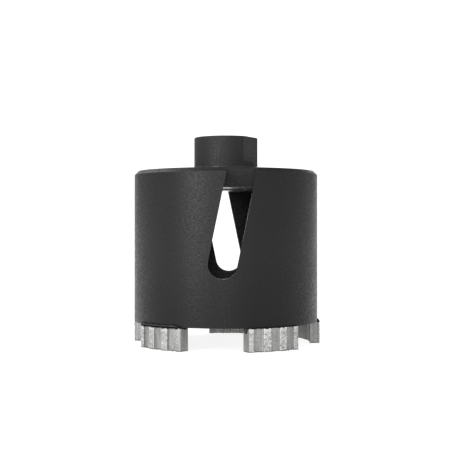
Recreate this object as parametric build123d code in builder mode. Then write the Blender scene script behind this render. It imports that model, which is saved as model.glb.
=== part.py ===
"""Diamond core bit for dry drilling, 82 mm class.

A turned adapter closes the top of a slotted steel tube, and five ribbed diamond segments are brazed
under the tube's lower edge. The axis is Z, the tool spindle screws in from above, and the origin is
the middle of the hub's upper face. The slots are milled along Y. Sizes are in millimetres and degrees.
"""

from build123d import *
import os
from math import radians, sqrt, tan

# Tube
barrel_diameter = 80.0
barrel_wall = 2.5
barrel_height = 64.95
barrel_top_chamfer = 1.65

# Adapter: the end plate and the hub on it
plate_thickness = 7.75
plate_weld_gap = 0.05
hub_diameter = 27.8
hub_height = 14.85
hub_edge_radius = 0.6
hub_root_radius = 0.4

# Thread for the spindle, M16, cut right through
thread_diameter = 16.0
thread_mouth_chamfer = 1.0

# Two flats for the open spanner
flat_depth = 1.9
flat_length = 10.9
flat_azimuth = 59.0

# Slots: leaning, open at the top, milled along Y from the front and from the back
slot_count = 2
slot_width = 12.1
slot_lean = 11.6
slot_foot = 19.8
slot_depth = 14.0
slot_overrun = 4.0

# Diamond segments, brazed under the tube by hand: the scatter is each one's turn from its even place
segment_count = 5
segment_first_azimuth = 25.1
segment_scatter = (0.8, 0.0, 0.2, 0.8, -0.9)
segment_length = 24.2
segment_height = 9.8
segment_thickness = 4.4
segment_overhang = 1.0
segment_edge_chamfer = 0.3

# Ribs of a segment: full ribs between grooves, and a narrow rib at each end
rib_width = 3.6
groove_width = 4.0
groove_count = 3
outer_groove_depth = 1.0
inner_groove_depth = 0.5

barrel_radius = barrel_diameter / 2
bore_radius = barrel_radius - barrel_wall
plate_top = -hub_height
plate_under = plate_top - plate_thickness
barrel_foot = plate_top - barrel_height
segment_foot = barrel_foot - segment_height
segment_outer_radius = barrel_radius + segment_overhang
segment_inner_radius = segment_outer_radius - segment_thickness
slot_floor = barrel_radius - slot_depth

os.makedirs("parts", exist_ok=True)


def write_piece(piece, name):
    """Label a finished piece, write it out and print what was made."""
    piece.part.label = name
    export_step(piece.part, f"parts/{name}.step")
    print(name, "volume", round(piece.part.volume), "mm3")


# Slot cutter, shared by tube and end plate: it leans, and crosses the axis at half its height
slot_end_height = barrel_foot + slot_foot + slot_width / 2
slot_shift = tan(radians(slot_lean)) * (plate_top - slot_end_height) / 2

with BuildPart() as slot_cut:
    for index in range(slot_count):
        floor_plane = Plane.XZ.rotated((0, 0, index * 360 / slot_count)).offset(slot_floor)
        with BuildSketch(floor_plane):
            SlotCenterPoint(
                center=(slot_shift, plate_top),
                point=(-slot_shift, slot_end_height),
                height=slot_width,
            )
        extrude(amount=slot_depth + slot_overrun)

# Barrel: a plain tube with its top edge chamfered and the slots cut through its wall
with BuildPart() as barrel:
    with BuildSketch(Plane.XY.offset(barrel_foot)):
        Circle(barrel_radius)
        Circle(bore_radius, mode=Mode.SUBTRACT)
    extrude(amount=barrel_height)
    top_edges = barrel.edges().filter_by(GeomType.CIRCLE).group_by(Axis.Z)[-1]
    chamfer(top_edges.sort_by(SortBy.RADIUS)[-1], barrel_top_chamfer)
    add(slot_cut.part, mode=Mode.SUBTRACT)
write_piece(barrel, "barrel")

# Adapter: end plate and hub turned in one, bored for the thread, then milled for the spanner and the slots
hub_radius = hub_diameter / 2
spanner_size = hub_diameter - 2 * flat_depth
thread_radius = thread_diameter / 2
plate_radius = bore_radius - plate_weld_gap

with BuildPart() as adapter:
    with BuildSketch(Plane.XY.offset(plate_under)):
        Circle(plate_radius)
    extrude(amount=plate_thickness)
    with BuildSketch(Plane.XY.offset(plate_top)):
        Circle(hub_radius)
    extrude(amount=hub_height)
    with BuildSketch(Plane.XY):
        Circle(thread_radius)
    extrude(amount=plate_under, mode=Mode.SUBTRACT)
    thread_mouths = adapter.edges().filter_by(GeomType.CIRCLE).group_by(SortBy.RADIUS)[0]
    chamfer(thread_mouths, thread_mouth_chamfer)
    hub_face = adapter.faces().sort_by(Axis.Z)[-1]
    fillet(hub_face.outer_wire().edges(), hub_edge_radius)
    with BuildSketch(Plane.XY):
        Circle(hub_diameter)
        Rectangle(2 * hub_diameter, spanner_size, rotation=flat_azimuth, mode=Mode.SUBTRACT)
    extrude(amount=-flat_length, mode=Mode.SUBTRACT)
    plate_face = adapter.faces().filter_by(Plane.XY).sort_by(SortBy.AREA)[-2]
    fillet(plate_face.inner_wires()[0].edges(), hub_root_radius)
    add(slot_cut.part, mode=Mode.SUBTRACT)
write_piece(adapter, "adapter")

# Segments: arcs of the cutting ring with parallel ends and with grooves between upright ribs
rib_pitch = rib_width + groove_width


def is_outer_corner(edge):
    """True for the upright edges on the two round faces of a segment, not for those on a groove's floor."""
    middle = edge.center()
    reach = sqrt(middle.X**2 + middle.Y**2)
    faces = (segment_outer_radius, segment_inner_radius)
    return min(abs(reach - radius) for radius in faces) < inner_groove_depth / 2


for index in range(segment_count):
    azimuth = segment_first_azimuth + index * 360 / segment_count
    azimuth += segment_scatter[index % len(segment_scatter)]
    foot_plane = Plane.XY.offset(segment_foot).rotated((0, 0, azimuth))
    with BuildPart() as segment:
        with BuildSketch(foot_plane):
            Circle(segment_outer_radius)
            Circle(segment_inner_radius, mode=Mode.SUBTRACT)
            Rectangle(
                segment_length,
                segment_outer_radius,
                align=(Align.CENTER, Align.MAX),
                mode=Mode.INTERSECT,
            )
        extrude(amount=segment_height)
        with BuildSketch(foot_plane):
            with GridLocations(rib_pitch, 0, groove_count, 1):
                Rectangle(groove_width, 2 * segment_outer_radius, align=(Align.CENTER, Align.MAX))
            Circle(segment_outer_radius - outer_groove_depth, mode=Mode.SUBTRACT)
        extrude(amount=segment_height, mode=Mode.SUBTRACT)
        with BuildSketch(foot_plane):
            with GridLocations(rib_pitch, 0, groove_count, 1):
                Rectangle(groove_width, 2 * segment_outer_radius, align=(Align.CENTER, Align.MAX))
            Circle(segment_inner_radius + inner_groove_depth, mode=Mode.INTERSECT)
        extrude(amount=segment_height, mode=Mode.SUBTRACT)
        chamfer(segment.edges().filter_by(Axis.Z).filter_by(is_outer_corner), segment_edge_chamfer)
    write_piece(segment, f"segment_{index + 1}")
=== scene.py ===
# %% [markdown]
# # A diamond core bit in a small white studio
#
# The object is a short steel tube with a turned adapter on top and five diamond segments below. It is painted
# black all over, apart from the segments, whose sintered metal is ground bright on its ribs.
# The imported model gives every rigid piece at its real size, so this lesson never moves or scales it. It adds
# what a solid model leaves out: the spindle thread, the fillet at the hub's root, the grit and the pits of the
# segments, the brazing that holds them, and the finish of every surface. The scene is in metres, as Blender is.

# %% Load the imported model
import random
from math import cos, hypot, pi, radians, sin

import bmesh
import bpy
from mathutils import Euler, Matrix, Vector, noise
from mathutils.kdtree import KDTree


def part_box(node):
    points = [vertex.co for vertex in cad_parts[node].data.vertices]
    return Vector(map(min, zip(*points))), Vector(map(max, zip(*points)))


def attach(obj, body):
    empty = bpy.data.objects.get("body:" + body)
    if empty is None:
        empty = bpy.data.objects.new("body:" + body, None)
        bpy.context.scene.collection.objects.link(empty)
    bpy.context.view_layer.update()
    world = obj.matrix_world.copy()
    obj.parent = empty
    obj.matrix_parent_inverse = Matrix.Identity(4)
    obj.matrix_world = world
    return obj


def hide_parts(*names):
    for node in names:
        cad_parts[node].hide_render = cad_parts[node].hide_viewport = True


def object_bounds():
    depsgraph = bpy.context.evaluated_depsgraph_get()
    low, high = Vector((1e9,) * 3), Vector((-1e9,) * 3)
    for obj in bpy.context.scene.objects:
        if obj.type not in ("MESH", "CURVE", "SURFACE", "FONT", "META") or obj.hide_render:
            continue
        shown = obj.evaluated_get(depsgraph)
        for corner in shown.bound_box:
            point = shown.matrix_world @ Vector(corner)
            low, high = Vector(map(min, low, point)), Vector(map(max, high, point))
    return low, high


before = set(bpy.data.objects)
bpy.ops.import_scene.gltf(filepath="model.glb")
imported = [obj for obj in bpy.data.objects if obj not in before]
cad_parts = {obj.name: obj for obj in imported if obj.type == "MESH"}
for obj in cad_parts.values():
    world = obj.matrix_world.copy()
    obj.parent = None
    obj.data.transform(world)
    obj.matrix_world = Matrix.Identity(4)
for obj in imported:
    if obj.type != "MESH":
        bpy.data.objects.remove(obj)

MM = 0.001
cad_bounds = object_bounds()
floor_height = cad_bounds[0].z
print("nodes", sorted(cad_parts))
print("CAD box in mm", [[round(v / MM, 2) for v in corner] for corner in cad_bounds])

# %% [markdown]
# ## Camera
#
# The picture is taken from far away with a long lens, level, from half the object's height. The round edges of
# the tube, the hub and the segments show as flat ellipses, and how flat they are tells how high and how far the
# camera stands. A lens for portraits, about twice as long as a normal one, gives the same flat ellipses here.
# The camera looks straight ahead and not down, so upright edges stay upright in the picture.

# %% Place the camera
CAMERA_DISTANCE = 452.5 * MM
CAMERA_ABOVE_FLOOR = 51.38 * MM
CAMERA_AZIMUTH = radians(-4.0)
NEAREST_SHOWN = 10 * MM
SENSOR_WIDTH = 36.0
PICTURE_WIDTH = 450
FOCAL_LENGTH_IN_PIXELS = 1030.2
AXIS_RIGHT_OF_CENTRE = 0.9

camera = bpy.data.objects.new("studio_camera", bpy.data.cameras.new("studio_camera"))
camera.data.sensor_width = SENSOR_WIDTH
camera.data.lens = FOCAL_LENGTH_IN_PIXELS / PICTURE_WIDTH * SENSOR_WIDTH
camera.data.shift_x = -AXIS_RIGHT_OF_CENTRE / PICTURE_WIDTH
camera.data.clip_start = NEAREST_SHOWN
camera.location = (
    CAMERA_DISTANCE * sin(CAMERA_AZIMUTH),
    -CAMERA_DISTANCE * cos(CAMERA_AZIMUTH),
    floor_height + CAMERA_ABOVE_FLOOR,
)
camera.rotation_euler = (radians(90), 0, CAMERA_AZIMUTH)
bpy.context.scene.collection.objects.link(camera)
bpy.context.scene.camera = camera
bpy.context.scene.view_settings.view_transform = "Standard"
print("lens", round(camera.data.lens, 1), "mm")

# %% [markdown]
# ## Helpers for materials
#
# A picture editor shows colours as sRGB hex values, while the shaders add and multiply linear light. One function
# turns the first into the second. Another adds a node with its settings and its links in one call, so a material
# reads as a list of what goes into what. The rest are short names for the nodes that come back again and again.

# %% Colours and nodes
def linear(hex_colour):
    """An sRGB colour such as #2b2c2e as a linear red, green, blue and alpha."""
    parts = [int(hex_colour[i:i + 2], 16) / 255 for i in (1, 3, 5)]
    return tuple(c / 12.92 if c <= 0.04045 else ((c + 0.055) / 1.055) ** 2.4 for c in parts) + (1.0,)


def add_node(tree, kind, inputs=None, **settings):
    """A new node. Each input is a plain value or the output of another node."""
    node = tree.nodes.new(kind)
    for name, value in settings.items():
        setattr(node, name, value)
    for socket, value in (inputs or {}).items():
        if isinstance(value, bpy.types.NodeSocket):
            tree.links.new(value, node.inputs[socket])
        else:
            node.inputs[socket].default_value = value
    return node


def empty_material(name):
    """A node material with nothing in its tree yet."""
    material = bpy.data.materials.new(name)
    material.use_nodes = True
    material.node_tree.nodes.clear()
    return material


print("middle grey #808080 is", round(linear("#808080")[0], 3), "in linear light")

# %% Arithmetic and mixes
def calculate(tree, operation, first, second):
    """One step of arithmetic on two values or outputs."""
    return add_node(tree, "ShaderNodeMath", {0: first, 1: second}, operation=operation).outputs[0]


def map_range(tree, value, start, end, low=0.0, high=1.0, **settings):
    """A value that goes from low to high while another one goes from start to end."""
    inputs = {0: value, 1: start, 2: end, 3: low, 4: high}
    return add_node(tree, "ShaderNodeMapRange", inputs, **settings).outputs[0]


def mix_colours(tree, factor, first, second):
    """A mix of two colours. Each is a hex value or the output of another node."""
    first, second = (linear(colour) if isinstance(colour, str) else colour for colour in (first, second))
    return add_node(tree, "ShaderNodeMix", {0: factor, 6: first, 7: second}, data_type="RGBA").outputs[2]


print("helpers for materials are ready")

# %% [markdown]
# ## White paper
#
# The object stands on a wide sheet of white paper. Behind it, a narrower strip of the same paper lies flat on the
# sheet and then bends up into a backdrop, so no horizon shows. One wide bent sheet would be simpler, but the sides
# of the tube would mirror it and turn white, so the strip is only just wide enough for the picture.

# %% Lay the wide sheet
SHEET_HALF_WIDTH = 3.0


def stage_paper(shape, name):
    """A smooth sheet of the stage, which isn't part of the object."""
    for face in shape.faces:
        face.smooth = True
    mesh = bpy.data.meshes.new(name)
    shape.to_mesh(mesh)
    shape.free()
    sheet = bpy.data.objects.new(name, mesh)
    bpy.context.scene.collection.objects.link(sheet)
    print(name, "faces", len(mesh.polygons))
    return sheet


table = bmesh.new()
bmesh.ops.create_grid(table, x_segments=1, y_segments=1, size=SHEET_HALF_WIDTH)
bmesh.ops.translate(table, verts=table.verts, vec=(0, 0, floor_height))
table_sheet = stage_paper(table, "table_sheet")

# %% Bend the strip into a backdrop
STRIP_HALF_WIDTH = 0.42
BEND_START = 0.5
BEND_RADIUS = 0.4
STRIP_RISE = 0.15
STRIP_ABOVE_SHEET = 0.1 * MM
BEND_STEPS = 12

strip = bmesh.new()
lift = floor_height + STRIP_ABOVE_SHEET
corners = [strip.verts.new((side * STRIP_HALF_WIDTH, BEND_START, lift)) for side in (-1, 1)]
edge = strip.edges.new(corners)
runs = []
for step in range(BEND_STEPS):
    before, after = (pi / 2 * number / BEND_STEPS for number in (step, step + 1))
    runs.append((BEND_RADIUS * (sin(after) - sin(before)), BEND_RADIUS * (cos(before) - cos(after))))
runs.append((0.0, STRIP_RISE))
for forward, up in runs:
    made = bmesh.ops.extrude_edge_only(strip, edges=[edge])["geom"]
    corners = [part for part in made if isinstance(part, bmesh.types.BMVert)]
    bmesh.ops.translate(strip, verts=corners, vec=(0, forward, up))
    edge = strip.edges.get(corners)
bmesh.ops.recalc_face_normals(strip, faces=strip.faces)
if strip.faces[:][0].normal.z < 0:
    bmesh.ops.reverse_faces(strip, faces=strip.faces)
turned_to_camera = Matrix.Rotation(CAMERA_AZIMUTH, 3, "Z")
bmesh.ops.rotate(strip, verts=strip.verts, cent=(0, 0, 0), matrix=turned_to_camera)
backdrop_strip = stage_paper(strip, "backdrop_strip")

# %% [markdown]
# ## The paper's own light
#
# White paper in soft light renders light grey. Stronger lamps would whiten it, but they would also whiten the
# object. So the paper gets a little light of its own, only for rays that come from the camera or from a shiny
# surface. The object gets no more light from it, and its shadow stays on the paper.

# %% White paper that glows only where it is seen
PAPER_COLOUR = "#b8b8b7"
PAPER_GLOW = 0.87

white_paper = empty_material("matt_white_paper")
tree = white_paper.node_tree
rays = add_node(tree, "ShaderNodeLightPath").outputs
seen = calculate(tree, "MAXIMUM", rays["Is Camera Ray"], rays["Is Glossy Ray"])
seen = calculate(tree, "MAXIMUM", seen, rays["Is Transmission Ray"])
strength = calculate(tree, "MULTIPLY", seen, PAPER_GLOW)
fibres = add_node(tree, "ShaderNodeBsdfDiffuse", {"Color": linear(PAPER_COLOUR)})
glow = add_node(tree, "ShaderNodeEmission", {"Color": linear("#ffffff"), "Strength": strength})
both = add_node(tree, "ShaderNodeAddShader", {0: fibres.outputs[0], 1: glow.outputs[0]})
add_node(tree, "ShaderNodeOutputMaterial", {"Surface": both.outputs[0]})
for sheet in (table_sheet, backdrop_strip):
    sheet.data.materials.append(white_paper)
print("paper glow", PAPER_GLOW)

# %% [markdown]
# ## The room
#
# Black paint shows little but what it reflects, so what stands round it matters more than how bright it is. The
# room is light grey, and it draws the thin bright rims where the tube turns away. It is dimmer behind on the
# left, so the left rim stays narrow, and dimmer high up behind on the right, where the right end of the top
# chamfer looks. Real studios do this with black cards. Here the background itself gets darker in two directions,
# which casts no hard edges.

# %% Fill the room
ROOM_LIGHT = 0.62
DIM_CORNER = {"azimuth": -150, "elevation": 0, "start": 0.5, "light": ROOM_LIGHT, "dimmed": 0.32}
DIM_SHELF = {"azimuth": 130, "elevation": 45, "start": 0.6, "light": 1.0, "dimmed": 0.45}
FULLY_DIMMED = 0.95


def direction(azimuth, elevation):
    """A unit vector away from the object. Azimuth 0 is the camera's own side, and positive is to its right."""
    around, up = radians(azimuth) + CAMERA_AZIMUTH, radians(elevation)
    return Vector((sin(around) * cos(up), -cos(around) * cos(up), sin(up)))


def dim_towards(tree, looking, azimuth, elevation, start, light, dimmed):
    """A value that falls from light to dimmed as a ray comes to look in one direction."""
    inputs = {0: looking, 1: direction(azimuth, elevation)}
    nearness = add_node(tree, "ShaderNodeVectorMath", inputs, operation="DOT_PRODUCT").outputs["Value"]
    return map_range(tree, nearness, start, FULLY_DIMMED, light, dimmed, interpolation_type="SMOOTHSTEP")


room = bpy.data.worlds.new("studio_room")
room.use_nodes = True
tree = room.node_tree
tree.nodes.clear()
looking = add_node(tree, "ShaderNodeTexCoord").outputs["Generated"]
corner = dim_towards(tree, looking, **DIM_CORNER)
shelf = dim_towards(tree, looking, **DIM_SHELF)
strength = calculate(tree, "MULTIPLY", corner, shelf)
walls = add_node(tree, "ShaderNodeBackground", {"Color": linear("#ffffff"), "Strength": strength})
add_node(tree, "ShaderNodeOutputWorld", {"Surface": walls.outputs[0]})
bpy.context.scene.world = room
print("room light", ROOM_LIGHT)

# %% [markdown]
# ## Lamps
#
# The lamps are shapes to be seen in the paint. One large soft box stands to the left and draws the long pale
# streak down the left half of the tube. A second one hangs high behind the object and lights the left end of the
# top chamfer. A small lamp beside the camera reaches into the slot. Point lamps would draw hard white dots
# instead, so all three are areas.

# %% Hang the lamps
AIM_ABOVE_FLOOR = 45 * MM

lamp_aim = Vector((0, 0, floor_height + AIM_ABOVE_FLOOR))


def hang_lamp(name, azimuth, elevation, distance, size, watts):
    """A soft lamp that faces the object."""
    towards = direction(azimuth, elevation)
    lamp = bpy.data.objects.new(name, bpy.data.lights.new(name, "AREA"))
    lamp.data.shape = "RECTANGLE"
    lamp.data.size, lamp.data.size_y = size
    lamp.data.energy = watts
    lamp.location = lamp_aim + towards * distance
    lamp.rotation_euler = (-towards).to_track_quat("-Z", "Y").to_euler()
    bpy.context.scene.collection.objects.link(lamp)
    print(name, watts, "W")


hang_lamp("large_soft_box", azimuth=-38, elevation=21, distance=1.2, size=(0.48, 0.9), watts=7.4)
hang_lamp("overhead_soft_box", azimuth=-150, elevation=45, distance=1.2, size=(0.5, 0.5), watts=2.2)
hang_lamp("camera_side_lamp", azimuth=-2, elevation=6, distance=1.3, size=(0.25, 0.25), watts=1.3)

# %% [markdown]
# ## Black paint on steel
#
# The tube and the adapter are turned steel, sprayed with a thin satin black paint and baked. A picture of paint
# could be wrapped round them, but patterns on Object coordinates, in real millimetres, need no unwrapping, are
# sharp at any distance and stay where they are when the camera moves.
# The paint follows the steel: a fine orange peel breaks up the reflections, and faint rings are left from the
# lathe. Both are bumps in the shading, because they are far too shallow to show in the outline.

# %% Bumps in the paint
ORANGE_PEEL = 0.95 * MM
FINE_GRAIN = 0.42 * MM
PEEL_DEPTH = 0.15 * MM
# Lathe rings are really about 0.2 mm apart, too fine to show here, so they are drawn three times as coarse
LATHE_RING = 0.6 * MM
RING_DEPTH = 0.06 * MM


def noise_pattern(tree, place, size, detail=2.0):
    """Soft random spots of about one size, from 0 to 1."""
    inputs = {"Vector": place, "Scale": 1 / size, "Detail": detail}
    return add_node(tree, "ShaderNodeTexNoise", inputs).outputs["Fac"]


def paint_bumps(tree, grain, from_axis, height, peel, rings):
    """The normal of the paint, with its orange peel and the rings of the lathe."""
    peeled = add_node(tree, "ShaderNodeBump", {"Height": grain, "Strength": peel, "Distance": PEEL_DEPTH})
    ring_place = add_node(tree, "ShaderNodeCombineXYZ", {"Z": calculate(tree, "ADD", height, from_axis)})
    ring = noise_pattern(tree, ring_place.outputs[0], LATHE_RING)
    ringed = add_node(tree, "ShaderNodeBump", {
        "Height": ring, "Strength": rings, "Distance": RING_DEPTH, "Normal": peeled.outputs["Normal"],
    })
    return ringed.outputs["Normal"]


print("orange peel every", round(ORANGE_PEEL / MM, 2), "mm")

# %% [markdown]
# ## Wear of the paint, and painted highlight on its edges
#
# Knocks leave a few small nicks, where a little steel shows through. Along sharp edges the paint is made paler
# in patches, as thin paint and as painted highlight where the edges catch the light. Wear could be painted on by
# hand. Here a Bevel node finds the edges: it rounds the normal near them, and where the rounded normal differs
# from the face's own, the point is on an edge. The nicks are the middles of the cells of a Voronoi pattern, which
# lie apart from each other as single knocks do.

# %% Wear in nicks and painted highlight on edges
EDGE_RADIUS = 0.25 * MM
EDGE_SAMPLES = 6
NICK_SPACING = 9 * MM
# Each pair is where an effect starts and where it is full
EDGE_TURN = (0.995, 0.90)
EDGE_HIGHLIGHT_PATCH = (0.45, 0.62)
NICK_EDGE = (0.045, 0.03)
MOST_EDGE_HIGHLIGHT = 0.5


def wear_and_edge_highlight(tree, place, coarse, nicked):
    """How pale the paint is, from 0 to 1: worn in the nicks, and painted highlight along the edges."""
    rounded = add_node(tree, "ShaderNodeBevel", {"Radius": EDGE_RADIUS}, samples=EDGE_SAMPLES).outputs[0]
    own = add_node(tree, "ShaderNodeNewGeometry").outputs["Normal"]
    turned = add_node(tree, "ShaderNodeVectorMath", {0: rounded, 1: own}, operation="DOT_PRODUCT")
    # Paler paint along the edges is painted highlight where the edges catch the light, and partly thin paint
    edge = map_range(tree, turned.outputs["Value"], *EDGE_TURN)
    patchy = map_range(tree, coarse, *EDGE_HIGHLIGHT_PATCH, 0.0, MOST_EDGE_HIGHLIGHT)
    wear_and_highlight = calculate(tree, "MULTIPLY", edge, patchy)
    if nicked:
        cells = add_node(tree, "ShaderNodeTexVoronoi", {"Vector": place, "Scale": 1 / NICK_SPACING})
        nick = map_range(tree, cells.outputs["Distance"], *NICK_EDGE)
        wear_and_highlight = calculate(tree, "MAXIMUM", wear_and_highlight, nick)
    return wear_and_highlight


print("nicks about", round(NICK_SPACING / MM), "mm apart")

# %% [markdown]
# ## Colour and gloss of the paint
#
# Little of the spray reached the inside of the tube and the underside of the end plate, so the inside is greyer,
# and the underside shows its turned steel. The gloss is mottled by the orange peel, and that grain shows only
# inside the bright streak. Towards the foot the heat of the brazing has dulled the paint.
# Each of these could be a material of its own with a hard border. As soft steps along the height and along the
# distance from the axis, they run into each other in one material, as they do on the real tool.

# %% Colour and gloss
# The pale colour of the nicks, and of the painted highlight along the edges
PALE_WEAR_AND_EDGE_HIGHLIGHT = "#4a4a49"
OVERSPRAY = "#39393a"
OVERSPRAY_RADIUS = (38.6 * MM, 38.3 * MM)
BARE_PLATE = "#6e6e6d"
BARE_PLATE_HEIGHT = (-22.3 * MM, -22.6 * MM)
BARE_IS_SMOOTHER = 0.2
PAINT_SHINE = 0.33
HEATED_HEIGHT = (-45 * MM, -80 * MM)
CLOUD = 11 * MM
CLOUD_RANGE = (0.3, 0.7)
CLOUD_DRIFT = 0.03
GRAIN_RANGE = (0.75, 1.25)


def paint_gloss(tree, place, grain, roughness, mottle):
    """How rough the paint is: it drifts a little, and the orange peel speckles it."""
    clouds = noise_pattern(tree, place, CLOUD)
    drift = map_range(tree, clouds, *CLOUD_RANGE, roughness - CLOUD_DRIFT, roughness + CLOUD_DRIFT)
    specks = map_range(tree, grain, *GRAIN_RANGE, -mottle, mottle)
    return calculate(tree, "ADD", drift, specks)


def heated_shine(tree, height, foot_shine):
    """The strength of the paint's reflection, which changes towards the foot."""
    return map_range(tree, height, *HEATED_HEIGHT, PAINT_SHINE, foot_shine, interpolation_type="SMOOTHSTEP")


print("paint shine", PAINT_SHINE)

# %% Put the black paint together
def black_paint(
    name, paint, roughness, mottle, peel, rings,
    foot_shine=None, dusty_inside=0.0, bare_under=False, nicked=False,
):
    """Satin black stoving paint over turned steel.

    Mottle, peel and rings say how strong the grain in the gloss and the two bumps are. Foot shine is the strength
    of the reflection at the tube's foot, where it differs, and dusty inside is how grey the inside is.
    """
    material = empty_material(name)
    tree = material.node_tree
    place = add_node(tree, "ShaderNodeTexCoord").outputs["Object"]
    height = add_node(tree, "ShaderNodeSeparateXYZ", {"Vector": place}).outputs["Z"]
    flat = add_node(tree, "ShaderNodeVectorMath", {0: place, 1: (1, 1, 0)}, operation="MULTIPLY")
    from_axis = add_node(tree, "ShaderNodeVectorMath", {0: flat.outputs[0]}, operation="LENGTH").outputs["Value"]
    coarse = noise_pattern(tree, place, ORANGE_PEEL, detail=1.0)
    fine = noise_pattern(tree, place, FINE_GRAIN, detail=1.0)
    grain = calculate(tree, "ADD", coarse, fine)

    colour = mix_colours(tree, wear_and_edge_highlight(tree, place, coarse, nicked), paint, PALE_WEAR_AND_EDGE_HIGHLIGHT)
    gloss = paint_gloss(tree, place, grain, roughness, mottle)
    if dusty_inside:
        overspray = map_range(tree, from_axis, *OVERSPRAY_RADIUS, 0.0, dusty_inside)
        colour = mix_colours(tree, overspray, colour, OVERSPRAY)
    if bare_under:
        underside = map_range(tree, height, *BARE_PLATE_HEIGHT)
        colour = mix_colours(tree, underside, colour, BARE_PLATE)
        gloss = calculate(tree, "SUBTRACT", gloss, calculate(tree, "MULTIPLY", underside, BARE_IS_SMOOTHER))
    shader = add_node(tree, "ShaderNodeBsdfPrincipled", {
        "Base Color": colour, "Roughness": gloss,
        "Specular IOR Level": heated_shine(tree, height, foot_shine) if foot_shine else PAINT_SHINE,
        "Normal": paint_bumps(tree, grain, from_axis, height, peel, rings),
    })
    add_node(tree, "ShaderNodeOutputMaterial", {"Surface": shader.outputs[0]})
    print(name, len(tree.nodes), "nodes")
    return material


print("black paint is ready to be used")

# %% Paint the tube and the adapter
def dress(node_name, material):
    """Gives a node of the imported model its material, and leaves its mesh alone."""
    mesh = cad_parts[node_name].data
    mesh.materials.clear()
    mesh.materials.append(material)


tube_paint = black_paint(
    "satin_black_paint_on_tube", "#1c1c1d", roughness=0.39, mottle=0.15, peel=0.5, rings=0.15,
    foot_shine=0.24, dusty_inside=0.6, nicked=True,
)
adapter_paint = black_paint(
    "satin_black_paint_on_adapter", "#282829", roughness=0.5, mottle=0.1, peel=0.5, rings=0.4, bare_under=True,
)
dress("barrel", tube_paint)
dress("adapter", adapter_paint)
print("painted barrel and adapter")

# %% [markdown]
# ## Spindle thread
#
# The hub is screwed onto the machine's spindle, so its bore carries a coarse thread. A tap cuts it as one long
# ridge that winds down the bore. A Screw modifier could wind it too. Spinning one flat profile with a little drop
# at each step gives the same ridge at once, as a plain mesh. The profile is the standard one: a wide root on the
# wall, 60 degree flanks and a narrow crest.

# %% Make pieces from shapes in millimetres
def open_edges(shape):
    """How many edges don't join two faces. A closed shape has none."""
    return sum(len(edge.link_faces) != 2 for edge in shape.edges)


def finish_piece(shape, name, materials):
    """Turns a bmesh in millimetres into a piece of the object in metres, which moves with the object."""
    bmesh.ops.scale(shape, vec=(MM, MM, MM), verts=shape.verts)
    mesh = bpy.data.meshes.new(name)
    shape.to_mesh(mesh)
    shape.free()
    for material in materials:
        mesh.materials.append(material)
    piece = bpy.data.objects.new(name, mesh)
    bpy.context.scene.collection.objects.link(piece)
    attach(piece, "root")
    print(name, "faces", len(mesh.polygons))
    return piece


print("pieces are scaled by", MM)

# %% Wind the thread
THREAD_PITCH = 2.0
THREAD_ROOT_RADIUS = 8.02
THREAD_CREST_RADIUS = 6.92
THREAD_TOP = -1.6
THREAD_ABOVE_UNDERSIDE = 1.5
STEPS_PER_TURN = 48

thread = bmesh.new()
thread_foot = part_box("adapter")[0].z / MM + THREAD_ABOVE_UNDERSIDE
root_half, crest_half = THREAD_PITCH * 7 / 16, THREAD_PITCH / 8
profile = [
    thread.verts.new((0, -radius, THREAD_TOP - root_half + height))
    for radius, height in (
        (THREAD_ROOT_RADIUS, -root_half), (THREAD_CREST_RADIUS, -crest_half),
        (THREAD_CREST_RADIUS, crest_half), (THREAD_ROOT_RADIUS, root_half),
    )
]
section = thread.faces.new(profile)
turns = (THREAD_TOP - thread_foot - 2 * root_half) / THREAD_PITCH
steps = round(turns * STEPS_PER_TURN)
bmesh.ops.spin(
    thread, geom=[section] + section.edges[:] + section.verts[:], cent=(0, 0, 0), axis=(0, 0, 1),
    dvec=(0, 0, -THREAD_PITCH / STEPS_PER_TURN), angle=2 * pi * steps / STEPS_PER_TURN, steps=steps,
)
bmesh.ops.recalc_face_normals(thread, faces=thread.faces)
print("thread turns", round(turns, 1), "open edges", open_edges(thread))
finish_piece(thread, "spindle_thread", [adapter_paint])

# %% [markdown]
# ## Root of the hub
#
# Where the hub meets the end plate, the turning tool's round nose leaves a hollow fillet, and paint pools in it,
# thicker and glossier than elsewhere. It is small, but it mirrors the soft box as one bright line. A bump in the
# adapter's material wouldn't catch the light at the right angle, so it is a real ring: an arc, closed by straight
# sides that lie inside the steel, and spun right round the axis.

# %% Turn the root fillet
HUB_RADIUS = 13.9
PLATE_TOP = -14.85
ROOT_RADIUS = 1.9
ROOT_ARC_STEPS = 12
ROOT_SPIN_STEPS = 96
SUNK_IN_STEEL = 0.05
SAME_PLACE = 0.001

root = bmesh.new()
arc = []
for step in range(ROOT_ARC_STEPS + 1):
    swing = pi / 2 * step / ROOT_ARC_STEPS
    arc.append((HUB_RADIUS + ROOT_RADIUS * (1 - cos(swing)), PLATE_TOP + ROOT_RADIUS * (1 - sin(swing))))
in_hub, in_plate = HUB_RADIUS - SUNK_IN_STEEL, PLATE_TOP - SUNK_IN_STEEL
arc += [(arc[-1][0], in_plate), (in_hub, in_plate), (in_hub, arc[0][1])]
outline = [root.verts.new((0, -radius, height)) for radius, height in arc]
rim = [root.edges.new(pair) for pair in zip(outline, outline[1:] + outline[:1])]
bmesh.ops.spin(
    root, geom=outline + rim, cent=(0, 0, 0), axis=(0, 0, 1), angle=2 * pi, steps=ROOT_SPIN_STEPS, use_merge=True,
)
bmesh.ops.remove_doubles(root, verts=root.verts, dist=SAME_PLACE)
bmesh.ops.recalc_face_normals(root, faces=root.faces)
for face in root.faces:
    face.smooth = True
print("root fillet open edges", open_edges(root))
pooled_paint = black_paint(
    "satin_black_paint_pooled_in_corner", "#2e2e2f", roughness=0.27, mottle=0.06, peel=0.3, rings=0.1,
)
finish_piece(root, "hub_root_fillet", [pooled_paint])

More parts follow.
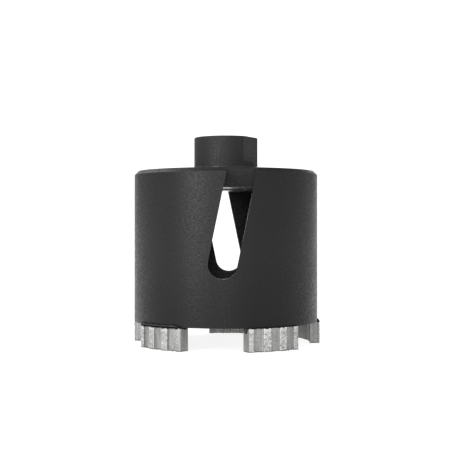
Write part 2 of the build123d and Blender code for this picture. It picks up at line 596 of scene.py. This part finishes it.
# %% [markdown]
# ## Diamond segments
#
# A segment is pressed from metal powder and diamond grit and sintered into a solid block, then brazed under the
# tube. Its upright ribs are ground, so they are bright and rough: crystals stand out of them, and others have
# broken away and left pits. The grooves between the ribs keep the smoother, duller skin of the mould.
# The solid model has the block and its ribs, so the work starts from a merged copy of that and not from a new
# shape. The steps are: add the brazing, draw one skin over all of it, wear the skin, and set the crystals in.
# Every step works on a segment in its own frame, where its middle points towards -Y.

# %% Sizes of a segment
RING_OUTER = 41.0
RING_INNER = 36.6
TUBE_OUTER = 40.0
TUBE_INNER = 37.5
TUBE_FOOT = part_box("barrel")[0].z / MM
SEGMENT_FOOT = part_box("segment_1")[0].z / MM
SEGMENT_LENGTH = 24.2
HALF_LENGTH = SEGMENT_LENGTH / 2
RIB_PITCH = 7.6
RIB_WIDTH = 3.6
GROOVE_WIDTH = RIB_PITCH - RIB_WIDTH
AZIMUTHS = {1: 25.9, 2: 97.1, 3: 169.3, 4: 241.9, 5: 312.2}
CLEARLY_ABOVE = 0.01


def segment_turn(number):
    """The turn about the axis that takes the front of the tube to a segment."""
    return Matrix.Rotation(radians(AZIMUTHS[number]), 4, "Z")


def on_ring(along, radius, height):
    """A place at a distance from the axis, in the segment's own frame."""
    return Vector((along, -(radius * radius - along * along) ** 0.5, height))


def share_between(low, high, value):
    """How far a value has come from low to high, from 0 to 1."""
    return min(max((value - low) / (high - low), 0.0), 1.0)


print("segments are", round(TUBE_FOOT - SEGMENT_FOOT, 2), "mm high, with ribs", RIB_WIDTH, "mm wide")

# %% Copy the block
def merged_copy(node_name):
    """A copy of a node's mesh with its loose triangles joined, in millimetres."""
    shape = bmesh.new()
    shape.from_mesh(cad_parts[node_name].data)
    bmesh.ops.scale(shape, vec=(1 / MM, 1 / MM, 1 / MM), verts=shape.verts)
    bmesh.ops.remove_doubles(shape, verts=shape.verts, dist=SAME_PLACE)
    return shape


def shorten(block, turn, missing):
    """Cuts a thin slice off a block's left end, and closes the cut."""
    bmesh.ops.bisect_plane(
        block, geom=block.verts[:] + block.edges[:] + block.faces[:], dist=SAME_PLACE,
        plane_co=turn @ Vector((missing - HALF_LENGTH, 0, 0)), plane_no=turn.to_3x3() @ Vector((-1, 0, 0)),
        clear_outer=True,
    )
    bmesh.ops.holes_fill(block, edges=[edge for edge in block.edges if edge.is_boundary])


print("segment azimuths", sorted(AZIMUTHS.values()))

# %% [markdown]
# ## Brazing
#
# Braze is an alloy that melts long before the steel does. It is drawn into the joint, and what is left over sets
# as a bead along each ledge and as a few drops. A bead could be a bevelled curve, but half of that would lie in
# the wall. A profile spun round the axis follows the tube exactly. It is spun 1 mm high, and then each point gets
# the height of its own place, so the outer bead wavers and runs out at its right end, as the real ones do.

# %% Lay the brazing
BEAD_STEPS = 90
BULGE_STEPS = 6
BULGE = 0.7
BEAD_IN_BLOCK = 0.15
BEAD_IN_WALL = 0.1
# Each wave of the bead is given by its length in millimetres and its share of the height
BEAD_WAVES = ((2.2, 0.35), (0.9, 0.3))
# The noise is read at another place for each pair of heights, so no two beads waver alike
BEADS_APART = 10
BEAD_ENDING = 3.5
HEIGHT_AT_END = 0.35
DROP_DIVISIONS = 3


def add_bead(shape, turn, wall, reach, height, half_angle):
    """A fillet of braze in the corner between the tube's wall and a segment's ledge."""
    seat = TUBE_FOOT - BEAD_IN_BLOCK
    inside = wall + (BEAD_IN_WALL if wall > reach else -BEAD_IN_WALL)
    first = turn @ Matrix.Rotation(radians(-half_angle), 4, "Z")
    points = [(inside, seat), (reach, seat)]
    for step in range(BULGE_STEPS + 1):
        rise = pi / 2 * step / BULGE_STEPS
        points.append((wall + (reach - wall) * cos(rise) ** BULGE, TUBE_FOOT + height * sin(rise) ** BULGE))
    points.append((inside, TUBE_FOOT + height))
    section = shape.faces.new([shape.verts.new(first @ Vector((0, -radius, z))) for radius, z in points])
    bmesh.ops.spin(
        shape, geom=[section] + section.edges[:] + section.verts[:], cent=(0, 0, 0), axis=(0, 0, 1),
        angle=radians(2 * half_angle), steps=BEAD_STEPS,
    )


def bead_height(along, left, right):
    """How high the outer bead stands at a place along the segment, from its heights at both ends."""
    waver = 1.0
    for length, share in BEAD_WAVES:
        waver += share * noise.noise(Vector((along / length, BEADS_APART * left, BEADS_APART * right)))
    ending = share_between(HALF_LENGTH, HALF_LENGTH - BEAD_ENDING, along)
    height = left + (right - left) * (along / SEGMENT_LENGTH + 0.5)
    return height * waver * (HEIGHT_AT_END + (1 - HEIGHT_AT_END) * ending)


def taper_bead(shape, turn, left, right):
    """Gives a bead that was spun one millimetre high its own height at each place."""
    back = turn.inverted()
    for point in shape.verts:
        if point.co.z > TUBE_FOOT + CLEARLY_ABOVE:
            height = bead_height((back @ point.co).x, left, right)
            point.co.z = TUBE_FOOT + (point.co.z - TUBE_FOOT) * height


def add_drop(shape, turn, middle, size):
    """A drop of braze that has run down and set."""
    matrix = Matrix.Translation(turn @ middle) @ turn.to_3x3().to_4x4() @ Matrix.Diagonal((*size, 1))
    bmesh.ops.create_icosphere(shape, subdivisions=DROP_DIVISIONS, radius=1.0, matrix=matrix)


print("a bead wavers every", BEAD_WAVES[0][0], "mm")

# %% [markdown]
# ## One skin over block and brazing
#
# Molten braze leaves no seams: block, bead and drops run into each other. Boolean modifiers could join them, but
# they leave sharp seams and long thin faces. A voxel remesh draws one closed skin round all of them, and its
# points are even and fine enough to carry pits.

# %% Draw the skin
SKIN = 0.16


def remesh(shape, voxel):
    """One closed skin round everything in the bmesh, with points about one voxel apart."""
    mesh = bpy.data.meshes.new("remesh_source")
    shape.to_mesh(mesh)
    shape.free()
    source = bpy.data.objects.new("remesh_source", mesh)
    bpy.context.scene.collection.objects.link(source)
    skin = source.modifiers.new("skin", "REMESH")
    skin.mode = "VOXEL"
    skin.voxel_size = voxel
    source = source.evaluated_get(bpy.context.evaluated_depsgraph_get())
    result = bmesh.new()
    result.from_mesh(source.data)
    bpy.data.objects.remove(source.original)
    bpy.data.meshes.remove(mesh)
    return result


print("skin points are", SKIN, "mm apart")

# %% [markdown]
# ## Places for grit and pits
#
# Diamonds lie at random in the sintered metal. Grinding bares them on the round faces of the ribs and on the foot,
# and some break away and leave pits. A particle system could scatter them. Random places in plain Python need no
# modifier, keep clear of the corners, and come out the same in every run when they start from the same seed.

# %% Choose the places
RIB_CENTRES = (-RIB_PITCH * 1.5, -RIB_PITCH / 2, RIB_PITCH / 2, RIB_PITCH * 1.5)
GRIT_ON_A_RIB = 15
PITS_ON_A_RIB = 5
GRIT_ON_THE_FOOT = 70
PITS_ON_THE_FOOT = 25
OFF_RIB_SIDES = 0.15
OFF_RIB_FOOT = 0.2
OFF_RIB_TOP = 0.3
OFF_FOOT_SIDES = 0.3
FOOT_REACH = 11.6


def scatter_on_ribs(rng, count, radius):
    """Random places on the round faces of the ribs. The narrow ribs at the ends get fewer."""
    places = []
    for centre in RIB_CENTRES:
        left = max(centre - RIB_WIDTH / 2, -HALF_LENGTH)
        right = min(centre + RIB_WIDTH / 2, HALF_LENGTH)
        for _ in range(round(count * (right - left) / RIB_WIDTH)):
            along = rng.uniform(left + OFF_RIB_SIDES, right - OFF_RIB_SIDES)
            height = rng.uniform(SEGMENT_FOOT + OFF_RIB_FOOT, TUBE_FOOT - OFF_RIB_TOP)
            places.append(on_ring(along, radius, height))
    return places


def scatter_on_foot(rng, count):
    """Random places on the lower face, which is the one that cuts."""
    places = []
    for _ in range(count):
        radius = rng.uniform(RING_INNER + OFF_FOOT_SIDES, RING_OUTER - OFF_FOOT_SIDES)
        along = rng.uniform(-FOOT_REACH, FOOT_REACH)
        places.append(on_ring(along, radius, SEGMENT_FOOT))
    return places


print("rib centres", RIB_CENTRES)

# %% [markdown]
# ## What each point of the skin is
#
# Ribs and foot are ground. Painted shade lies in the grooves' corners beside the ribs and in a band along
# the foot, and the inner face is darker, most at its ends. A mask could be painted for each of these. Here two
# numbers are worked out for every point from its place and kept on the mesh as attributes: ground is how far
# it was ground, and the other is how dark the point is painted. The wear below reads the first one, and the
# material reads both.

# %% Mark the ground faces and the painted shade
LAST_FACET = 6
MIDDLE_FACET = 3
ROUND_FACE = 0.3
INNER_FACE = 0.4
OFF_BLOCK_END = 0.15
FACES_DOWN = -0.7
FOOT_PAINTED_SHADE_STRENGTH = 1.5
# Each pair is the distance from an edge where a mark starts and where it is full
FOOT_GROUND = (0.25, 0.1)
FOOT_PAINTED_SHADE = (0.75, 0.4)
INNER_END_DARKENING = (0.5, 0.3)
CORNER_PAINTED_SHADE = (0.45, 0.15)


def facet_at(along):
    """The upright facet at a place, counted from 0 at the left, and how far into its groove the place is."""
    pitch = round(along / RIB_PITCH)
    into_groove = along - pitch * RIB_PITCH + GROOVE_WIDTH / 2
    if abs(pitch) < 2 and 0 < into_groove < GROOVE_WIDTH:
        return 2 * pitch + MIDDLE_FACET, into_groove
    rib = 2 * pitch + MIDDLE_FACET + (1 if into_groove > 0 else -1)
    return min(max(rib, 0), LAST_FACET), GROOVE_WIDTH


def mark_wear(shape, turn, facets, half_length, inside):
    """Writes on each point how ground it is and how dark it is painted."""
    ground = shape.verts.layers.float.new("ground")
    darkening = shape.verts.layers.float.new("darkening")
    back = turn.inverted()
    for point in shape.verts:
        place = back @ point.co
        radius = hypot(place.x, place.y)
        above_foot = place.z - SEGMENT_FOOT
        point[ground] = share_between(*FOOT_GROUND, above_foot)
        if radius > TUBE_OUTER - ROUND_FACE and abs(place.x) < half_length - OFF_BLOCK_END:
            facet, into_groove = facet_at(place.x)
            point[ground] = max(point[ground], facets[facet])
            # Painted shade in the corner of each groove beside the rib on its left
            point[darkening] = share_between(*CORNER_PAINTED_SHADE, into_groove)
        elif radius < RING_INNER + INNER_FACE:
            # The inner face is darker, most near the block's ends
            point[darkening] = max(inside, share_between(*INNER_END_DARKENING, HALF_LENGTH - abs(place.x)))
        if point.normal.z > FACES_DOWN:
            # Painted shade in a band along the foot, on faces that don't look down
            point[darkening] = max(point[darkening], FOOT_PAINTED_SHADE_STRENGTH * share_between(*FOOT_PAINTED_SHADE, above_foot))
        if place.z > TUBE_FOOT:
            point[ground] = 0.0


print("a block has", LAST_FACET + 1, "upright facets")

# %% [markdown]
# ## Wear of the skin
#
# Ground metal is rough, and each lost diamond has left a pit of its own size. A bump could fake both, but real
# relief also makes the ribs' outline ragged and casts small shadows. So the points themselves move, always
# inwards, and the block stays inside its real size.

# %% Roughen the skin and dig the pits
# The mould leaves the powder's skin slightly rough, and the wheel takes more off the ribs
MOULD_SINK = 0.03
MOULD_GRAIN = 0.02
RIB_WEAR = 0.056
POWDER_GRAIN = 0.5
COARSE_SHARE = 0.6
PIT_DEPTH = 0.25
USUAL_PIT = 0.4
PIT_SIZES = (0.25, 0.45)


def roughen(shape):
    """Moves each point inwards, most where it is ground."""
    ground = shape.verts.layers.float["ground"]
    for point in shape.verts:
        coarse, fine = noise.noise(point.co / POWDER_GRAIN), noise.noise(point.co / (POWDER_GRAIN / 2))
        rough = COARSE_SHARE * coarse + (1 - COARSE_SHARE) * fine
        depth = MOULD_SINK + MOULD_GRAIN * rough + point[ground] * RIB_WEAR * (1 + rough)
        point.co -= point.normal * max(depth, 0.0)


def dig_pits(shape, turn, pits):
    """Pushes the points round each pit's middle inwards, as a shallow bowl."""
    tree = KDTree(len(shape.verts))
    for index, point in enumerate(shape.verts):
        tree.insert(point.co, index)
    tree.balance()
    shape.verts.ensure_lookup_table()
    for place, size in pits:
        for _, index, gap in tree.find_range(turn @ place, size):
            point = shape.verts[index]
            point.co -= point.normal * PIT_DEPTH * (size / USUAL_PIT) * (1 - (gap / size) ** 2)


print("a rib is worn about", RIB_WEAR + MOULD_SINK, "mm deep")

# %% [markdown]
# ## Crystals
#
# A grown diamond is a cube with its corners cut off. Each is sunk in the metal for most of its size, and a little
# deeper on the foot, which stands on the table. Copies of one mesh would all look alike, so every crystal gets its
# own size and turn, and one bevel then cuts all their corners at once.

# %% Make the crystals
GRIT_SIZES = (0.34, 0.56)
CORNER_CUT_PERCENT = 38
CRYSTAL_SINK = 0.45
FOOT_CRYSTAL_SINK = 0.62


def add_grit(turn, places, rng):
    """Diamond crystals as cubes with their corners cut off, in one mesh."""
    grit = bmesh.new()
    for place in places:
        size = rng.uniform(*GRIT_SIZES)
        if place.z > SEGMENT_FOOT + CLEARLY_ABOVE:
            shrink = (RING_OUTER - CRYSTAL_SINK * size) / RING_OUTER
            centre = Vector((place.x * shrink, place.y * shrink, place.z))
        else:
            centre = place + Vector((0, 0, FOOT_CRYSTAL_SINK * size))
        spin = Euler([rng.uniform(0, 2 * pi) for _ in range(3)]).to_matrix().to_4x4()
        bmesh.ops.create_cube(grit, size=size, matrix=Matrix.Translation(turn @ centre) @ spin)
    bmesh.ops.bevel(
        grit, geom=grit.verts[:], offset=CORNER_CUT_PERCENT, offset_type="PERCENT", affect="VERTICES",
        segments=1, profile=0.5, material=-1,
    )
    return grit


print("grit from", GRIT_SIZES[0], "to", GRIT_SIZES[1], "mm")

# %% [markdown]
# ## Sintered metal
#
# The metal of a segment is cobalt and bronze powder, pressed hot. Where it is ground it is pale and slightly
# sparkling, with marks across the ribs, and elsewhere it is a dull grey with faint upright streaks from the mould.
# The powder's grains are half covered with oxide, so the shader is only about half metal.
# The paint of the tube runs down over the top of the block with a ragged edge. Right under that edge the flux of
# the brazing has left the metal cleaner and paler. Thin dead black lines of painted shade lie in the crease along
# the bead's top and along the paint's edge.
# Each of these could be a material with its own faces. Because they run into each other, one material shows them
# all, and reads from the mesh where each belongs. When a segment is built, it gets two more attributes for this:
# below_paint is how far a point lies below the paint's edge, and the other says where the painted shade
# lines lie.

# %% Colours of the metal
STREAK = 0.8 * MM
POWDER_SPOT = 0.6 * MM
PATTERN_RANGE = (0.35, 0.65)
# Less of an axis stretches a pattern along it
UPRIGHT_STREAKS = (1, 1, 0.12)
LEVEL_SCORES = (0.4, 0.4, 1)
CLEANED_BELOW_PAINT = (0.2, 1.6, 0.6, 0.0)
MOST_DARKENING = 0.4


def read_attribute(tree, name):
    """A number that was written on the mesh."""
    return add_node(tree, "ShaderNodeAttribute", attribute_name=name).outputs["Fac"]


def metal_pattern(tree, place, powder, stretch):
    """Powder spots mixed half and half with marks in one direction."""
    stretched = add_node(tree, "ShaderNodeVectorMath", {0: place, 1: stretch}, operation="MULTIPLY")
    marks = noise_pattern(tree, stretched.outputs[0], STREAK)
    mixed = add_node(tree, "ShaderNodeMix", {0: 0.5, 2: powder, 3: marks}).outputs[0]
    return map_range(tree, mixed, *PATTERN_RANGE)


def metal_colour(tree, place, powder, below_paint):
    """The metal's colour: pale on ribs, dull in grooves, darker with painted shade and on the inner face."""
    ground = read_attribute(tree, "ground")
    moulded = mix_colours(tree, metal_pattern(tree, place, powder, UPRIGHT_STREAKS), "#8a8a89", "#b7b7b6")
    bright = mix_colours(tree, metal_pattern(tree, place, powder, LEVEL_SCORES), "#a4a4a3", "#ececeb")
    colour = mix_colours(tree, ground, moulded, bright)
    cleaned = map_range(tree, below_paint, *CLEANED_BELOW_PAINT)
    colour = mix_colours(tree, calculate(tree, "MULTIPLY", cleaned, ground), colour, "#fbfaf8")
    # A dark grey for the painted shade in corners and along the foot, and for the darker inner face
    darkening_share = calculate(tree, "MULTIPLY", read_attribute(tree, "darkening"), MOST_DARKENING)
    return mix_colours(tree, darkening_share, colour, "#4b4a48")


print("streaks", round(STREAK / MM, 2), "mm apart")

# %% Metal, paint and painted shade lines in one material
RAGGED_SPOT = 1.1 * MM
RAGGEDNESS = 1.2
PAINT_EDGE = (-0.06, 0.06)
POWDER_DEPTH = 0.08 * MM

sintered_metal = empty_material("sintered_metal_ground_on_ribs")
tree = sintered_metal.node_tree
place = add_node(tree, "ShaderNodeTexCoord").outputs["Object"]
below_paint = read_attribute(tree, "below_paint")
powder = noise_pattern(tree, place, POWDER_SPOT)
relief = add_node(tree, "ShaderNodeBump", {"Height": powder, "Strength": 0.4, "Distance": POWDER_DEPTH}).outputs[0]

metal = add_node(tree, "ShaderNodeBsdfPrincipled", {
    "Base Color": metal_colour(tree, place, powder, below_paint), "Metallic": 0.55, "Roughness": 0.5,
    "Normal": relief,
}).outputs[0]
paint = add_node(tree, "ShaderNodeBsdfPrincipled", {
    "Base Color": linear("#2e2e2f"), "Roughness": 0.42, "Normal": relief,
}).outputs[0]
# A dead black matte shader for the painted shade lines in the crease and along the paint's edge
shade_line = add_node(tree, "ShaderNodeBsdfPrincipled", {
    "Base Color": linear("#101010"), "Roughness": 0.9, "Specular IOR Level": 0.2, "Normal": relief,
}).outputs[0]

ragged = calculate(tree, "ADD", noise_pattern(tree, place, RAGGED_SPOT, detail=3.0), -0.5)
edge_place = calculate(tree, "ADD", calculate(tree, "MULTIPLY", ragged, RAGGEDNESS), below_paint)
bare = map_range(tree, edge_place, *PAINT_EDGE)
coat = add_node(tree, "ShaderNodeMixShader", {0: read_attribute(tree, "painted_shade_lines"), 1: paint, 2: shade_line}).outputs[0]
surface = add_node(tree, "ShaderNodeMixShader", {0: bare, 1: coat, 2: metal}).outputs[0]
add_node(tree, "ShaderNodeOutputMaterial", {"Surface": surface})
print("sintered metal", len(tree.nodes), "nodes")

# %% [markdown]
# ## Diamond
#
# Grit for stone is synthetic diamond, grown under pressure. Whole crystals are greyish and glossy. Every third one
# is near white instead, as a painted glint. Real diamond is clear, but at this size, half sunk in grey metal, it
# shows as a grey or white grain. So these are opaque, which also renders without noise, and keep diamond's own
# high IOR for their glint.

# %% Two kinds of diamond
DIAMOND_IOR = 2.42


def diamond(name, colour, roughness):
    """Opaque diamond, with the strong reflection of its high IOR."""
    material = empty_material(name)
    tree = material.node_tree
    crystal = add_node(tree, "ShaderNodeBsdfPrincipled", {
        "Base Color": linear(colour), "Roughness": roughness, "IOR": DIAMOND_IOR,
    })
    add_node(tree, "ShaderNodeOutputMaterial", {"Surface": crystal.outputs[0]})
    return material


diamond_grit = diamond("synthetic_diamond_grit", "#787672", roughness=0.15)
# The near-white colour of these crystals is a painted glint
painted_glint_diamond = diamond("diamond_with_painted_glint", "#f6f6f3", roughness=0.25)
print("diamond IOR", DIAMOND_IOR)

# %% [markdown]
# ## Five segments
#
# The five are the same block, but each was brazed by hand, so each has its own bead, drops and paint edge. Five
# separate scripts could say so. One table is shorter and shows at a glance what differs. All its sizes are in
# millimetres, and heights count from the tube's foot:
#
# - bead: the height of the outer bead at its left and its right end
# - paint: how far the paint runs down over the block at both ends
# - shade_line: how far the painted shade line reaches up from the paint's edge
# - facets: how ground each rib and each groove is, from left to right, from 0 to 1
# - inside: how dark the inner face is, from 0 to 1
# - short: how much the left end is ground back
# - drops: for each drop its place along the block, its distance from the axis, its height and its half sizes

# %% What is different on each segment
SEGMENTS = {
    1: {
        "bead": (0.3, 0.4), "paint": (0.35, 0.05), "shade_line": 0.45,
        "facets": (1, 0.15, 1, 0.2, 1, 0.05, 0.8), "inside": 0.45, "short": 0.2,
        "drops": [(-11.2, 38.4, -0.6, (0.95, 1.0, 1.35))],
    },
    2: {
        "bead": (0.45, 0.6), "paint": (0.3, 0.8), "shade_line": 0.45,
        "facets": (1, 0, 1, 0.2, 1, 0, 1), "inside": 1.0, "short": 0.0,
        "drops": [(-11.7, 40.3, 0.1, (0.5, 0.6, 0.35))],
    },
    3: {
        "bead": (0.5, 0.5), "paint": (0.8, 0.5), "shade_line": 0.45,
        "facets": (0.9, 0, 1, 0.4, 1, 0, 1), "inside": 0.4, "short": 0.0,
        "drops": [(10.5, 40.1, -0.2, (0.9, 0.6, 0.5))],
    },
    4: {
        "bead": (0.6, 0.6), "paint": (0.5, 0.7), "shade_line": 0.45,
        "facets": (1, 0.1, 1, 0, 0.9, 0.3, 0.7), "inside": 0.45, "short": 0.0,
        "drops": [(-6.0, 40.1, -0.2, (0.9, 0.6, 0.5))],
    },
    5: {
        "bead": (0.9, 1.1), "paint": (0.9, 0.6), "shade_line": 0.9,
        "facets": (0.7, 0, 0.6, 0, 0.6, 0.05, 0.25), "inside": 0.45, "short": 0.0,
        "drops": [
            (10.6, 40.2, 0.3, (0.6, 0.6, 0.6)),
            (8.9, 40.7, 0.35, (0.45, 0.3, 0.35)),
            (7.4, 40.7, 0.4, (0.35, 0.3, 0.3)),
        ],
    },
}
print("drops", {number: len(making["drops"]) for number, making in SEGMENTS.items()})

# %% Braze a block and mark its paint
BEAD_HALF_ANGLE = 16.6
INNER_BEAD_HALF_ANGLE = 17.6
INNER_BEAD_HEIGHT = 0.3
BEAD_SHORT_OF_RING = 0.12
INNER_BEAD_SHORT_OF_RING = 0.02
SMOOTHING = 0.5
PAINT_ROUND_DROP = 0.35
# Each pair is where painted shade starts and where it is full, from the top of the bead or from the shade line's
# end
CREASE = (-0.4, -0.2)
EDGE_SHADE = (-0.15, 0.05)


def brazed_skin(name, turn, making, drops):
    """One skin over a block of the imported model, its two beads and its drops."""
    block = merged_copy(name)
    if making["short"]:
        shorten(block, turn, making["short"])
    add_bead(block, turn, TUBE_OUTER, RING_OUTER - BEAD_SHORT_OF_RING, 1.0, BEAD_HALF_ANGLE)
    taper_bead(block, turn, *making["bead"])
    inner_reach = RING_INNER + INNER_BEAD_SHORT_OF_RING
    add_bead(block, turn, TUBE_INNER, inner_reach, INNER_BEAD_HEIGHT, INNER_BEAD_HALF_ANGLE)
    for middle, size in drops:
        add_drop(block, turn, middle, size)
    block = remesh(block, SKIN)
    bmesh.ops.smooth_vert(
        block, verts=block.verts, factor=SMOOTHING, use_axis_x=True, use_axis_y=True, use_axis_z=True,
    )
    block.normal_update()
    return block


def mark_paint(block, turn, making, drops):
    """Writes on each point how far it lies below the paint's edge, and how much painted shade it carries."""
    below_paint = block.verts.layers.float.new("below_paint")
    painted_shade_lines = block.verts.layers.float.new("painted_shade_lines")
    back = turn.inverted()
    left, right = making["paint"]
    for point in block.verts:
        place = back @ point.co
        paint_reach = left + (right - left) * share_between(-HALF_LENGTH, HALF_LENGTH, place.x)
        point[below_paint] = TUBE_FOOT - paint_reach - place.z
        for middle, size in drops:
            covered = max(size) + PAINT_ROUND_DROP - (place - middle).length
            point[below_paint] = min(point[below_paint], -covered)
        from_bead_top = place.z - TUBE_FOOT - bead_height(place.x, *making["bead"])
        # Painted shade in the crease along the bead's top, and in a line above the paint's edge
        creased = share_between(*CREASE, from_bead_top)
        edge_shaded = share_between(*EDGE_SHADE, point[below_paint] + making["shade_line"])
        point[painted_shade_lines] = max(creased, edge_shaded)


print("outer beads span", 2 * BEAD_HALF_ANGLE, "degrees")

# %% Build the five segments
FACES_OF_A_CRYSTAL = 14
GLINT_EVERY = 3
WHOLE_SLOT, GLINT_SLOT = 1, 2
PITS_BELOW_FACE = 0.08


def set_in(block, grit):
    """Puts the crystals into the block's mesh. Every third one gets the near-white painted glint."""
    for index, face in enumerate(grit.faces):
        glinting = index // FACES_OF_A_CRYSTAL % GLINT_EVERY == 0
        face.material_index = GLINT_SLOT if glinting else WHOLE_SLOT
    spare = bpy.data.meshes.new("grit")
    grit.to_mesh(spare)
    grit.free()
    block.from_mesh(spare)
    bpy.data.meshes.remove(spare)


for number, making in SEGMENTS.items():
    name = f"segment_{number}"
    turn = segment_turn(number)
    rng = random.Random(number)
    drops = [
        (on_ring(along, radius, TUBE_FOOT + height), size) for along, radius, height, size in making["drops"]
    ]
    block = brazed_skin(name, turn, making, drops)
    print(name, "open edges", open_edges(block))

    grit_places = scatter_on_ribs(rng, GRIT_ON_A_RIB, RING_OUTER) + scatter_on_foot(rng, GRIT_ON_THE_FOOT)
    pit_places = scatter_on_ribs(rng, PITS_ON_A_RIB, RING_OUTER - PITS_BELOW_FACE)
    pit_places += scatter_on_foot(rng, PITS_ON_THE_FOOT)
    pits = [(place, rng.uniform(*PIT_SIZES)) for place in pit_places]
    mark_wear(block, turn, making["facets"], HALF_LENGTH - making["short"], making["inside"])
    roughen(block)
    dig_pits(block, turn, pits)
    mark_paint(block, turn, making, drops)
    for face in block.faces:
        face.smooth = True

    set_in(block, add_grit(turn, grit_places, rng))
    materials = [sintered_metal, diamond_grit, painted_glint_diamond]
    piece = finish_piece(block, name + "_ground", materials)
    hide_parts(name)
